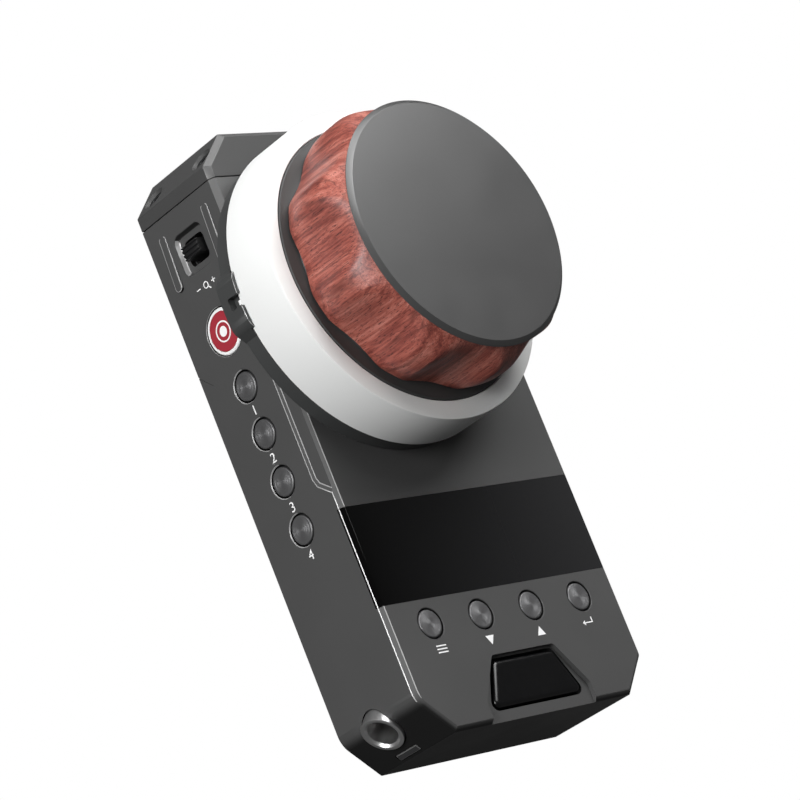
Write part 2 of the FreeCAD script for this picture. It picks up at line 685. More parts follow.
def build_case_front(body):
    """Glass seat, display window, key holes, thumb key recess and knob bore."""
    seat = make_sketch(body, "glass_seat_outline", height=deep)
    add_box(seat, -wide - 1, wide + 1, D["glass_lower_y"] - D["fit_gap"] / 2,
            D["glass_upper_y"] + D["fit_gap"] / 2)
    pocket(body, "glass_seat", seat, D["glass_thickness"])
    window = make_sketch(body, "window_outline", height=glass_low_z)
    margin = D["display_margin"] - D["fit_gap"]
    half = D["display_half_width"] + D["fit_gap"]
    add_box(window, -half, half, D["glass_lower_y"] + margin, D["glass_upper_y"] - margin)
    pocket(body, "window", window, wall)
    recess = make_sketch(body, "recess_outline", height=deep)
    add_polygon(recess, [
        (-D["recess_top_half"], D["recess_top_y"]),
        (-D["recess_foot_half"], D["recess_shoulder_y"]),
        (-D["recess_foot_half"], -long - 1), (D["recess_foot_half"], -long - 1),
        (D["recess_foot_half"], D["recess_shoulder_y"]),
        (D["recess_top_half"], D["recess_top_y"])])
    pocket(body, "recess", recess, D["recess_depth"])
    holes = make_sketch(body, "front_holes", height=deep)
    for _, x in KEY_SPOTS:
        add_circle(holes, D["key_radius"] + D["press_gap"], x, D["key_row_y"])
    add_circle(holes, D["tube_radius"] + D["fit_gap"] / 2, D["knob_x"], D["knob_y"])
    add_polygon(holes, thumb_outline(D["press_gap"]))
    pocket(body, "front_openings", holes, wall * 1.2)
    tapped = make_sketch(body, "tube_screw_spots", height=deep)
    for x, y in tube_screw_spots():
        add_circle(tapped, D["screw_radius"] + D["fit_gap"] / 2,
                   D["knob_x"] + x, D["knob_y"] + y)
    for x, y in base_screw_spots():
        add_circle(tapped, D["screw_radius"] + D["fit_gap"] / 2,
                   D["knob_x"] + x, D["knob_y"] + y)
    pocket(body, "tube_screw_holes", tapped, wall * 1.2)


def build_case_side(body):
    """Button holes, zoom recess and guard ribs on the left side."""
    holes = make_sketch(body, "side_holes", "YZ_Plane", -wide)
    for _, y in SIDE_SPOTS:
        add_circle(holes, D["side_radius"] + D["press_gap"], y, D["side_row_z"])
    add_circle(holes, D["record_radius"] + D["press_gap"], D["record_y"], D["side_row_z"])
    add_box(holes, D["zoom_y"] - D["slot_half_y"], D["zoom_y"] + D["slot_half_y"],
            D["zoom_z"] - D["slot_half_z"], D["zoom_z"] + D["slot_half_z"])
    pocket(body, "side_openings", holes, wall * 1.2, reverse=True)
    recess = make_sketch(body, "zoom_recess_outline", "YZ_Plane", -wide)
    add_round_box(recess, D["zoom_y"], D["zoom_z"], D["zoom_half"], D["zoom_half"],
                  D["zoom_corner"])
    pocket(body, "zoom_recess", recess, D["zoom_depth"], reverse=True)
    for name, z in (("low", D["guard_low_z"]), ("high", D["guard_high_z"])):
        rib = make_sketch(body, "guard_%s_outline" % name, height=z - D["guard_width"] / 2)
        root_x = -wide + D["guard_height"]
        add_polygon(rib, [
            (root_x, D["guard_upper_y"]), (-wide, D["guard_upper_y"]),
            (-wide - D["guard_height"], D["guard_lower_y"] + D["guard_height"]),
            (-wide - D["guard_height"] / 2, D["guard_lower_y"]),
            (root_x, D["guard_lower_y"])])
        pad(body, "guard_%s" % name, rib, D["guard_width"])


def facet_point(along, out):
    """Point on the bottom left facet: distance along it and out of it."""
    along = Size.of(along)
    out = Size.of(out)
    x = -wide + foot_along[0] * along + foot_out[0] * out
    y = -long + D["foot_corner_y"] + foot_along[1] * along + foot_out[1] * out
    return x, y


def build_case_facet(body):
    """Bore for the data socket and pocket for the port cover."""
    bore = make_sketch(body, "socket_bore_outline", height=D["socket_z"])
    hole = D["socket_radius"] + D["socket_gap"]
    reach = D["socket_length"]
    centre = D["socket_along"]
    corners = []
    for along, out in ((centre, 4), (centre + hole, 4), (centre + hole, -reach),
                       (centre, -reach)):
        corners.append(facet_point(along, out))
    add_polygon(bore, corners)
    groove = body.newObject("PartDesign::Groove", "socket_bore_cut")
    groove.Profile = bore
    groove.ReferenceAxis = (bore, ["Edge4"])
    groove.Angle = 360
    bore.Visibility = False
    body.Tip = groove
    port = make_sketch(body, "port_outline", height=D["port_low_z"])
    half = D["port_half"]
    add_polygon(port, [facet_point(D["port_along"] - half, 1),
                       facet_point(D["port_along"] + half, 1),
                       facet_point(D["port_along"] + half, -D["port_depth"]),
                       facet_point(D["port_along"] - half, -D["port_depth"])])
    pocket(body, "port_pocket", port, D["port_high_z"] - D["port_low_z"], reverse=True)


def thumb_outline(grow):
    """Corners of the thumb key, grown by a gap."""
    return [
        (-D["thumb_top_half"] - grow, D["thumb_top_y"] + grow),
        (-D["thumb_foot_half"] - grow, D["thumb_foot_y"] - grow),
        (D["thumb_foot_half"] + grow, D["thumb_foot_y"] - grow),
        (D["thumb_top_half"] + grow, D["thumb_top_y"] + grow)]


def ring_spots(radius, start, count):
    """Points on a circle round the knob axis."""
    spots = []
    for step in range(count):
        angle = math.radians(start + 360.0 * step / count)
        spots.append((radius * math.cos(angle), radius * math.sin(angle)))
    return spots


def tube_screw_spots():
    """Screws through the bearing tube flange."""
    return ring_spots((D["tube_flange"] + D["tube_radius"]) / 2, 45, 4)


def base_screw_spots():
    """Screws through the index ring, all over the case front."""
    return ring_spots(D["base_screw_ring"], -60, 6)[:4]


def build_top_cap():
    """End cap with slanted corner facets, hollow for the aerial."""
    body = make_body("top_cap")
    outline = make_sketch(body, "cap_outline")
    add_polygon(outline, [
        (-wide, seam), (wide, seam), (wide, long - D["cap_corner_y"]),
        (wide - D["cap_corner_x"], long), (-wide + D["cap_corner_x"], long),
        (-wide, long - D["cap_corner_y"])])
    pad(body, "cap_block", outline, deep)

    def front_rim(edge):
        ends = corner_points(edge)
        flat = all(near(point.z, deep) for point in ends)
        return flat and not all(near(point.y, seam) for point in ends)

    edge_work(body, "Chamfer", "cap_bevel_cut", front_rim, D["cap_bevel"])
    hollow = make_sketch(body, "cap_hollow", height=D["aerial_height"])
    half = D["aerial_half"] + D["fit_gap"]
    add_box(hollow, -half, half, seam - 1, long - D["cap_wall"])
    pocket(body, "cap_hollow_cut", hollow, deep - D["aerial_height"] * 2, reverse=True)
    turn_cap_screws(body, "Groove", "cap_hole", D["screw_radius"] + D["fit_gap"] / 2,
                    D["cap_screw_head"] + D["fit_gap"], 1, D["cap_screw_rim"])
    return body


def turn_cap_screws(body, kind, name, shank, head, out, rim):
    """Turn the four cap screws, or their holes, round their slanted axes."""
    for side, sign in (("left", -1), ("right", 1)):
        for level, z in (("low", D["cap_screw_rise"]), ("high", deep - D["cap_screw_rise"])):
            label = "%s_%s_%s" % (name, side, level)
            profile = make_sketch(body, label + "_profile", height=z)
            add_polygon(profile, cap_screw_corners(sign, shank, head, out, rim))
            turned = body.newObject("PartDesign::%s" % kind, label)
            turned.Profile = profile
            turned.ReferenceAxis = (profile, ["Edge1"])
            turned.Angle = 360
            profile.Visibility = False
            body.Tip = turned


def cap_screw_corners(sign, shank, head, out, rim):
    """Half outline of a cap screw or its hole, first edge on the axis."""
    length = D["cap_screw_length"]
    cone = head - shank
    spots = [(0, -length), (0, out), (head, out), (head, -rim), (shank, -rim - cone),
             (shank, -length)]
    corners = []
    for along, depth in spots:
        along = D["cap_screw_along"] + along
        depth = Size.of(depth)
        x = -wide + cap_along[0] * along + cap_out[0] * depth
        y = long - D["cap_corner_y"] + cap_along[1] * along + cap_out[1] * depth
        corners.append((x * -sign, y))
    return corners


def build_cap_screws():
    """Four countersunk screws with hexagon sockets."""
    body = make_body("top_cap_screws")
    sunk = D["cap_screw_rim"] + D["cap_screw_sink"]
    turn_cap_screws(body, "Revolution", "screw", D["screw_radius"],
                    D["cap_screw_head"] - D["cap_screw_sink"], -sunk,
                    sunk + D["fit_gap"])
    return body


def build_back_cover():
    """Cover plate with a boss for the tripod bush."""
    body = make_body("back_cover")
    outline = make_sketch(body, "cover_outline")
    inset = D["cover_inset"] + D["fit_gap"]
    corner_x = D["foot_corner_x"]
    corner_y = D["foot_corner_y"]
    add_polygon(outline, [
        (-wide + inset, case_top - inset), (-wide + inset, -long + corner_y + inset / 2),
        (-wide + corner_x + inset / 2, -long + inset),
        (wide - corner_x - inset / 2, -long + inset),
        (wide - inset, -long + corner_y + inset / 2), (wide - inset, case_top - inset)])
    pad(body, "cover_plate", outline, D["cover_thickness"])
    boss = make_sketch(body, "boss_outline")
    add_circle(boss, D["boss_radius"])
    pad(body, "boss", boss, D["insert_length"])
    bore = make_sketch(body, "boss_bore")
    add_circle(bore, D["insert_radius"] + D["fit_gap"] / 4)
    pocket(body, "boss_hole", bore, D["insert_length"] + 1, reverse=True)
    shanks = make_sketch(body, "shank_holes")
    heads = make_sketch(body, "head_holes")
    for x, y in COVER_SCREWS:
        add_circle(shanks, D["screw_radius"] + D["fit_gap"], x, y)
        add_circle(heads, D["screw_head_radius"] + D["fit_gap"], x, y)
    pocket(body, "shank_cut", shanks, D["cover_thickness"] + 1, reverse=True)
    pocket(body, "head_cut", heads, D["screw_head_height"], reverse=True)
    return body


def build_cover_screws():
    """Eight pan head screws with hexagon sockets."""
    body = make_body("back_cover_screws")
    shanks = make_sketch(body, "shank_spots", height=D["screw_head_height"])
    heads = make_sketch(body, "head_spots", height=D["fit_gap"])
    sockets = make_sketch(body, "socket_spots", height=D["fit_gap"])
    for x, y in COVER_SCREWS:
        add_circle(shanks, D["screw_radius"], x, y)
        add_circle(heads, D["screw_head_radius"], x, y)
        add_circle(sockets, D["screw_radius"] * 0.8, x, y)
    pad(body, "heads", heads, D["screw_head_height"] - D["fit_gap"])
    pad(body, "shanks", shanks, D["lug_height"] - wall - D["screw_head_height"] + 1)
    pocket(body, "sockets", sockets, D["screw_head_height"] * 0.6, reverse=True)
    return body


def build_tripod_insert():
    """Threaded bush, mouth at the back plane."""
    body = make_body("tripod_insert")
    thread = D["insert_thread"]
    revolve(body, "bush", [
        (thread, 0), (D["insert_radius"], 0), (D["insert_radius"], D["insert_length"]),
        (0, D["insert_length"]), (0, D["insert_depth"]), (thread, D["insert_depth"])])
    return body


def build_glass():
    """Front glass that runs across the whole front, bevelled like the case."""
    body = make_body("screen_glass")
    outline = make_sketch(body, "glass_outline", height=glass_low_z)
    add_box(outline, -wide, wide, D["glass_lower_y"], D["glass_upper_y"])
    pad(body, "glass_plate", outline, D["glass_thickness"])

    def side_rim(edge):
        ends = corner_points(edge)
        flat = all(near(point.z, deep) for point in ends)
        return flat and near(abs(ends[0].x), wide) and near(ends[0].x, ends[-1].x)

    edge_work(body, "Chamfer", "glass_bevel", side_rim, D["front_bevel"])
    return body


def build_display():
    """Display module under the glass."""
    body = make_body("display_module")
    outline = make_sketch(body, "display_outline", height=glass_low_z)
    margin = D["display_margin"]
    add_box(outline, -D["display_half_width"], D["display_half_width"],
            D["glass_lower_y"] + margin, D["glass_upper_y"] - margin)
    pad(body, "display_block", outline, D["display_thickness"], reverse=True)
    return body


# ---------------------------------------------------------------- keys and boards

def build_keys():
    """Four round front keys with retaining collars."""
    radius = D["key_radius"]
    top = deep + D["key_proud"]
    bevel = D["edge_bevel"]
    for node, x in KEY_SPOTS:
        body = make_body(node, (x, D["key_row_y"], 0))
        revolve(body, node + "_turned", [
            (0, key_foot_z), (radius + D["collar"], key_foot_z),
            (radius + D["collar"], key_collar_z), (radius, key_collar_z),
            (radius, top - bevel), (radius - bevel, top), (0, top)])


def build_thumb_key():
    """Large trapezoid key in the recess at the foot."""
    body = make_body("thumb_key")
    face = make_sketch(body, "thumb_face", height=key_foot_z)
    add_polygon(face, thumb_outline(0))
    pad(body, "thumb_block", face, D["thumb_top_z"] - key_foot_z)

    def face_rim(edge):
        return all(near(point.z, D["thumb_top_z"]) for point in corner_points(edge))

    edge_work(body, "Chamfer", "thumb_bevel", face_rim, D["edge_bevel"])
    flange = make_sketch(body, "thumb_flange", height=key_foot_z)
    half = D["thumb_top_half"]
    add_box(flange, -half, half, D["thumb_foot_y"] + D["collar"],
            D["thumb_top_y"] + D["collar"] * 1.5)
    pad(body, "thumb_collar", flange, D["collar_height"])
    return body


def build_front_board():
    """Board under the front keys, with five switches."""
    body = make_body("front_board")
    outline = make_sketch(body, "front_board_outline", height=front_board_z)
    add_box(outline, -D["front_board_half"], D["front_board_half"],
            D["key_row_y"] - D["front_board_lower"], D["key_row_y"] + D["front_board_upper"])
    tongue = D["thumb_top_half"]
    pad(body, "front_board_plate", outline, D["board"])
    extra = make_sketch(body, "front_board_tongue", height=front_board_z)
    add_box(extra, -tongue, tongue, D["thumb_foot_y"],
            D["key_row_y"] - D["front_board_lower"] + 1)
    pad(body, "front_board_extension", extra, D["board"])
    posts = make_sketch(body, "front_board_posts", height=front_board_z + D["board"])
    for sign in (-1, 1):
        add_circle(posts, D["screw_head_radius"], D["key_inner_x"] * 2 * sign,
                   D["key_row_y"] - D["front_board_lower"] + D["screw_head_radius"] + 1)
    pad(body, "front_board_spacers", posts, inner_front - front_board_z - D["board"])
    return body


def build_front_switches():
    """Tactile switches under the keys."""
    body = make_body("front_switches")
    outline = make_sketch(body, "switch_spots", height=front_board_z + D["board"])
    half = D["switch_half"]
    thumb_y = (D["thumb_top_y"] + D["thumb_foot_y"]) / 2
    spots = [(x, D["key_row_y"]) for _, x in KEY_SPOTS] + [(Size.of(0), thumb_y)]
    for x, y in spots:
        add_box(outline, x - half, x + half, y - half, y + half)
    pad(body, "switch_bodies", outline, D["switch_height"] - D["edge_bevel"])
    domes = make_sketch(body, "switch_domes", height=front_board_z + D["board"])
    for x, y in spots:
        add_circle(domes, half / 2, x, y)
    pad(body, "switch_plungers", domes, D["switch_height"])
    return body


def side_body(node, y):
    """Body on the left side: local Z points out of the case."""
    return make_body(node, (-wide, y, D["side_row_z"]), SIDE_TURN)


def build_side_buttons():
    """Four domed side buttons."""
    radius = D["side_radius"]
    bevel = D["edge_bevel"]
    for node, y in SIDE_SPOTS:
        body = side_body(node, y)
        revolve(body, node + "_turned", [
            (0, -side_foot), (radius + D["collar"], -side_foot),
            (radius + D["collar"], -side_collar), (radius, -side_collar),
            (radius, -bevel), (radius - bevel, 0), (radius * 0.5, D["key_proud"]),
            (0, D["key_proud"] * 1.5)])


def build_record_button():
    """Record button: rim with a coloured disc set into it."""
    radius = D["record_radius"]
    bevel = D["edge_bevel"]
    disc = D["record_disc"]
    body = side_body("record_rim", D["record_y"])
    revolve(body, "rim_turned", [
        (0, -side_foot), (radius + D["collar"], -side_foot),
        (radius + D["collar"], -side_collar), (radius, -side_collar),
        (radius, -bevel), (radius - bevel, 0), (disc + D["fit_gap"] / 2, 0),
        (disc + D["fit_gap"] / 2, -D["record_disc_height"] * 3),
        (0, -D["record_disc_height"] * 3)])
    body = side_body("record_disc", D["record_y"])
    revolve(body, "disc_turned", [
        (0, -D["record_disc_height"] * 3), (disc, -D["record_disc_height"] * 3),
        (disc, 0), (disc - bevel / 2, D["key_proud"]), (0, D["key_proud"])])


def build_side_board():
    """Board and switches behind the side buttons."""
    body = make_body("side_board")
    outline = make_sketch(body, "side_board_outline", "YZ_Plane", -wide + side_board_x)
    z = D["side_row_z"]
    add_box(outline, SIDE_SPOTS[-1][1] - D["side_board_under"],
            D["record_y"] + D["side_board_over"],
            z - D["side_board_half"], z + D["side_board_half"])
    pad(body, "side_board_plate", outline, D["board"])
    posts = make_sketch(body, "side_board_posts", "YZ_Plane", -wide + wall)
    for y in (SIDE_SPOTS[0][1] - D["side_pitch"] / 2, SIDE_SPOTS[2][1] - D["side_pitch"] / 2):
        for sign in (-1, 1):
            add_circle(posts, D["screw_radius"], y,
                       z + (D["side_board_half"] - D["screw_radius"] * 1.6) * sign)
    pad(body, "side_board_spacers", posts, side_board_x - wall)
    body = make_body("side_switches")
    half = D["switch_half"]
    outline = make_sketch(body, "side_switch_spots", "YZ_Plane", -wide + side_board_x)
    domes = make_sketch(body, "side_switch_domes", "YZ_Plane", -wide + side_board_x)
    for y in [spot[1] for spot in SIDE_SPOTS] + [D["record_y"]]:
        add_box(outline, y - half, y + half, z - half, z + half)
        add_circle(domes, half / 2, y, z)
    pad(body, "side_switch_bodies", outline, D["switch_height"] - D["edge_bevel"], reverse=True)
    pad(body, "side_switch_plungers", domes, D["switch_height"], reverse=True)


def build_inside():
    """Main board, battery and aerial."""
    body = make_body("battery_pack")
    outline = make_sketch(body, "battery_outline", height=D["cover_thickness"])
    add_round_box(outline, Size.of(0), (D["battery_low_y"] + D["battery_high_y"]) / 2,
                  D["battery_half"], (D["battery_high_y"] - D["battery_low_y"]) / 2,
                  D["zoom_corner"])
    pad(body, "battery_block", outline, D["battery_thickness"])
    body = make_body("main_board")
    outline = make_sketch(body, "main_board_outline", height=D["main_board_z"])
    add_box(outline, -D["battery_half"], D["battery_half"],
            D["battery_low_y"], D["battery_high_y"])
    pad(body, "main_board_plate", outline, D["board"])
    chips = make_sketch(body, "chip_outline", height=D["main_board_z"] + D["board"])
    half = D["switch_half"]
    for x in (-1, 0, 1):
        centre = D["battery_half"] * 0.6 * x
        middle = (D["battery_low_y"] + D["battery_high_y"]) / 2
        add_box(chips, centre - half, centre + half, middle - half, middle + half)
    pad(body, "chips", chips, D["board"] / 2)
    posts = make_sketch(body, "main_board_posts",
                        height=D["cover_thickness"] + D["battery_thickness"])
    for x in (-1, 1):
        for y in (D["battery_low_y"] + half, D["battery_high_y"] - half):
            add_circle(posts, D["screw_head_radius"], D["battery_half"] * 0.85 * x, y)
    pad(body, "main_board_spacers", posts,
        D["main_board_z"] - D["cover_thickness"] - D["battery_thickness"])
    body = make_body("aerial")
    outline = make_sketch(body, "aerial_outline", height=D["aerial_height"])
    add_box(outline, -D["aerial_half"], D["aerial_half"],
            long - D["cap_wall"] - D["aerial_thickness"], long - D["cap_wall"])
    pad(body, "aerial_plate", outline, deep - D["aerial_height"] * 2 - D["fit_gap"])


# ---------------------------------------------------------------- socket and port

def build_socket():
    """Round metal socket with insulator, pins and nut on the bottom left facet."""
    x, y = facet_point(D["socket_along"], 0)
    turn = facet_turn(foot_out)
    radius = D["socket_radius"]
    bore = D["socket_bore"]
    bevel = D["edge_bevel"]
    depth = D["socket_depth"]
    proud = D["socket_proud"]
    back = -D["socket_length"]
    floor = proud - bevel * 2 - depth
    core = bore * 0.85
    body = make_body("data_socket", (x, y, D["socket_z"]), turn)
    revolve(body, "shell", [
        (bore, proud - bevel * 2), (radius - bevel * 2, proud), (radius - bevel, proud),
        (radius, proud - bevel), (radius, back), (core, back), (core, floor), (bore, floor)])
    body = make_body("data_socket_insert", (x, y, D["socket_z"]), turn)
    inner = core - D["fit_gap"] / 4
    revolve(body, "insulator", [(0, floor), (inner, floor), (inner, back), (0, back)])
    contacts = make_sketch(body, "contact_spots", height=floor)
    for px, py in ring_spots(D["socket_pin_ring"], 30, 5):
        add_circle(contacts, D["socket_pin"], px, py)
    pocket(body, "contacts", contacts, depth / 2)


def build_port_cover():
    """Small rubber cover in the facet."""
    body = make_body("port_cover")
    half = D["port_half"] - D["fit_gap"]
    low = D["port_low_z"] + D["fit_gap"]
    high = D["port_high_z"] - D["fit_gap"]
    outline = make_sketch(body, "port_cover_outline", height=low)
    along = D["port_along"]
    out = D["fit_gap"]
    add_polygon(outline, [facet_point(along - half, out), facet_point(along + half, out),
                          facet_point(along + half, -D["port_depth"]),
                          facet_point(along - half, -D["port_depth"])])
    pad(body, "port_cover_block", outline, high - low)


# ---------------------------------------------------------------- zoom lever

def build_zoom():
    """Spring-centred zoom lever with pin, carrier and sensor."""
    pivot_x = -wide + D["lever_pivot_depth"]
    y = D["zoom_y"]
    z = D["zoom_z"]
    half_y = D["lever_half_y"]
    half_z = D["lever_half_z"]
    hub = D["lever_hub"]
    pin = D["pivot_radius"]
    body = make_body("zoom_lever", (pivot_x, y, z))
    stem = make_sketch(body, "lever_outline", height=-half_z)
    tip = -D["lever_pivot_depth"] - D["lever_proud"]
    bevel = D["edge_bevel"]
    add_polygon(stem, [
        (0, -half_y), (0, half_y), (tip + bevel, half_y), (tip, half_y - bevel),
        (tip, -half_y + bevel), (tip + bevel, -half_y)])
    pad(body, "lever_block", stem, half_z * 2)
    drum = make_sketch(body, "lever_hub_outline", height=-half_z)
    add_circle(drum, hub)
    pad(body, "lever_hub_block", drum, half_z * 2)
    hole = make_sketch(body, "lever_bore", height=-half_z - 1)
    add_circle(hole, pin + D["pivot_run"])
    pocket(body, "lever_bore_cut", hole, half_z * 2 + 2, reverse=True)
    ribs = make_sketch(body, "lever_ribs", height=-half_z - 1)
    step = half_y * 2 / 5
    for place in (-1, 0, 1):
        centre = step * 1.25 * place
        add_box(ribs, tip - 1, tip + bevel * 1.4, centre - step / 4, centre + step / 4)
    pocket(body, "lever_rib_cut", ribs, half_z * 2 + 2, reverse=True)

    body = make_body("zoom_pivot_pin", (pivot_x, y, z))
    reach = half_z + D["press_gap"] + D["board"]
    revolve(body, "pin_turned", [(0, -reach), (pin, -reach), (pin, reach), (0, reach)])

    body = make_body("zoom_carrier", (pivot_x, y, z))
    arm = make_sketch(body, "carrier_outline", height=half_z + D["press_gap"])
    near_wall = -D["lever_pivot_depth"] + wall
    add_box(arm, near_wall, hub, -D["slot_half_y"], D["slot_half_y"])
    add_circle(arm, pin + D["pivot_run"] / 3)
    first = pad(body, "carrier_upper", arm, D["board"])
    mirror(body, "carrier_pair", [first], "XY_Plane")
    bridge = make_sketch(body, "carrier_bridge_outline",
                         height=-half_z - D["press_gap"] - D["board"])
    web = hub + D["press_gap"] * 2
    add_box(bridge, web - D["press_gap"] * 2, web + D["board"], -D["slot_half_y"],
            D["slot_half_y"])
    pad(body, "carrier_bridge", bridge, (half_z + D["press_gap"] + D["board"]) * 2)
    relief = make_sketch(body, "carrier_relief", height=-half_z - D["press_gap"])
    add_circle(relief, hub + D["press_gap"] * 1.5)
    pocket(body, "carrier_relief_cut", relief, (half_z + D["press_gap"]) * 2, reverse=True)

    body = make_body("zoom_sensor", (pivot_x + web + D["board"], y, z))
    board = make_sketch(body, "sensor_outline", "YZ_Plane")
    add_box(board, -D["slot_half_y"], D["slot_half_y"], -half_z, half_z)
    pad(body, "sensor_board", board, D["board"])


# ---------------------------------------------------------------- knob

def build_index_ring():
    """Fixed ring under the knob with the raised index tab."""
    body = make_body("index_ring", knob_place)
    low = deep
    top = D["base_top_z"]
    bevel = D["edge_bevel"]
    revolve(body, "base_turned", [
        (D["base_bore"], low), (D["base_radius"], low), (D["base_radius"], top - bevel),
        (D["base_radius"] - bevel, top), (D["base_bore"], top)])
    tab = make_sketch(body, "tab_outline", height=low)
    angle = D["tab_half_angle"]
    foot = D["tab_foot_angle"]
    outer = D["tab_outer"]
    base = D["base_radius"]
    inner = base - 2
    foot_half = base * sine(foot)
    add_polygon(tab, [
        (-inner, -foot_half), (-inner, foot_half), (-base * cosine(foot), foot_half),
        (-outer * cosine(angle), outer * sine(angle)),
        (-outer * cosine(angle / 2), outer * sine(angle / 2)),
        (-outer, 0),
        (-outer * cosine(angle / 2), -outer * sine(angle / 2)),
        (-outer * cosine(angle), -outer * sine(angle)),
        (-base * cosine(foot), -foot_half)])
    pad(body, "tab_block", tab, D["tab_rise"])
    clear = make_sketch(body, "tab_clearance", height=top)
    add_circle(clear, D["tab_inner"])
    pocket(body, "tab_clearance_cut", clear, D["tab_rise"], reverse=True)
    notch = make_sketch(body, "notch_outline", height=low + D["tab_rise"])
    add_box(notch, -outer - 1, -D["base_radius"], -D["tab_notch"], D["tab_notch"])
    pocket(body, "notch_cut", notch, D["notch_depth"])
    track = make_sketch(body, "stop_hole", height=top)
    add_circle(track, D["stop_radius"] + D["fit_gap"] / 4, 0, D["stop_ring"])
    pocket(body, "stop_hole_cut", track, D["base_height"])
    shanks = make_sketch(body, "base_shanks", height=top)
    heads = make_sketch(body, "base_heads", height=top)
    for x, y in base_screw_spots():
        add_circle(shanks, D["screw_radius"] + D["fit_gap"], x, y)
        add_circle(heads, D["screw_head_radius"] + D["fit_gap"], x, y)
    pocket(body, "base_shank_cut", shanks, D["base_height"])
    pocket(body, "base_head_cut", heads, D["base_height"] / 2)
    return body


def build_index_parts():
    """Screws and stop pin of the index ring."""
    body = make_body("index_ring_screws", knob_place)
    heads = make_sketch(body, "base_screw_heads", height=deep + D["base_height"] / 2)
    shanks = make_sketch(body, "base_screw_shanks", height=deep + D["base_height"] / 2)
    sockets = make_sketch(body, "base_screw_sockets",
                          height=deep + D["base_height"] / 2 + D["screw_head_height"])
    for x, y in base_screw_spots():
        add_circle(heads, D["screw_head_radius"], x, y)
        add_circle(shanks, D["screw_radius"], x, y)
        add_circle(sockets, D["screw_radius"] * 0.8, x, y)
    pad(body, "base_head_pad", heads, D["screw_head_height"])
    pad(body, "base_shank_pad", shanks, D["base_height"] / 2 + wall, reverse=True)
    pocket(body, "base_socket_cut", sockets, D["screw_head_height"] * 0.6)
    body = make_body("stop_pin", (D["knob_x"], D["knob_y"] + D["stop_ring"], 0))
    revolve(body, "stop_turned", [
        (0, deep), (D["stop_radius"], deep), (D["stop_radius"], D["stop_top_z"]),
        (0, D["stop_top_z"])])
    body = make_body("bearing_tube", knob_place)
    bush = D["shaft_radius"] + D["bush_wall"] + D["fit_gap"] / 8
    core = D["shaft_radius"] + D["press_gap"]
    low = D["tube_low_z"]
    high = D["tube_top_z"]
    revolve(body, "tube_turned", [
        (bush, low), (D["tube_radius"], low), (D["tube_radius"], deep),
        (D["tube_flange"], deep), (D["tube_flange"], deep + D["tube_flange_height"]),
        (D["tube_radius"], deep + D["tube_flange_height"]), (D["tube_radius"], high),
        (bush, high), (bush, high - D["bush_length"]), (core, high - D["bush_length"]),
        (core, low + D["bush_length"]), (bush, low + D["bush_length"])])
    shanks = make_sketch(body, "tube_shank_spots", height=deep + D["tube_flange_height"])
    for x, y in tube_screw_spots():
        add_circle(shanks, D["screw_radius"] + D["fit_gap"], x, y)
    pocket(body, "tube_shank_cut", shanks, D["tube_flange_height"])
    body = make_body("bearing_tube_screws", knob_place)
    base = deep + D["tube_flange_height"]
    heads = make_sketch(body, "tube_heads", height=base)
    shanks = make_sketch(body, "tube_shanks", height=base)
    for x, y in tube_screw_spots():
        add_circle(heads, D["screw_head_radius"], x, y)
        add_circle(shanks, D["screw_radius"], x, y)
    pad(body, "tube_head_pad", heads, D["screw_head_height"])
    pad(body, "tube_shank_pad", shanks, D["tube_flange_height"] + wall, reverse=True)
    body = make_body("shaft_bushes", knob_place)
    bore = D["shaft_radius"] + D["shaft_run"]
    outer = D["shaft_radius"] + D["bush_wall"]
    length = D["bush_length"]
    flange = D["bush_flange"]
    revolve(body, "lower_bush", [
        (bore, low - flange), (outer + flange, low - flange), (outer + flange, low),
        (outer, low), (outer, low + length), (bore, low + length)])
    revolve(body, "upper_bush", [
        (bore, high - length), (outer, high - length), (outer, high),
        (outer + flange, high), (outer + flange, high + flange), (bore, high + flange)])
    body = make_body("encoder_reader", knob_place)
    half = D["reader_half"]
    left = D["encoder_radius"] - half / 2
    right = D["encoder_radius"] + half
    floor = D["cover_thickness"]
    slit = D["encoder_z"] - D["press_gap"] * 2
    block = make_sketch(body, "reader_outline", height=floor)
    add_box(block, left, right, -half, half)
    pad(body, "reader_block", block, D["encoder_z"] + D["encoder_thickness"] + half - floor)
    gap = make_sketch(body, "reader_gap", height=slit)
    add_box(gap, left - 1, D["encoder_radius"] + D["press_gap"] * 2, -half - 1, half + 1)
    pocket(body, "reader_gap_cut", gap, D["encoder_thickness"] + D["press_gap"] * 4,
           reverse=True)


def build_marking_ring():
    """White ring that carries the focus marks."""
    body = make_body("marking_ring", knob_place)
    low = D["ring_low_z"]
    high = D["ring_high_z"]
    bevel = D["edge_bevel"]
    bore = D["ring_bore"]
    lip = D["ring_lip"] + D["fit_gap"]
    shelf = D["flange_low_z"] + D["ring_lip_height"]
    revolve(body, "ring_turned", [
        (bore + lip, low), (D["ring_radius"], low), (D["ring_radius"], high - bevel),
        (D["ring_radius"] - bevel, high), (bore, high), (bore, shelf), (bore + lip, shelf)])


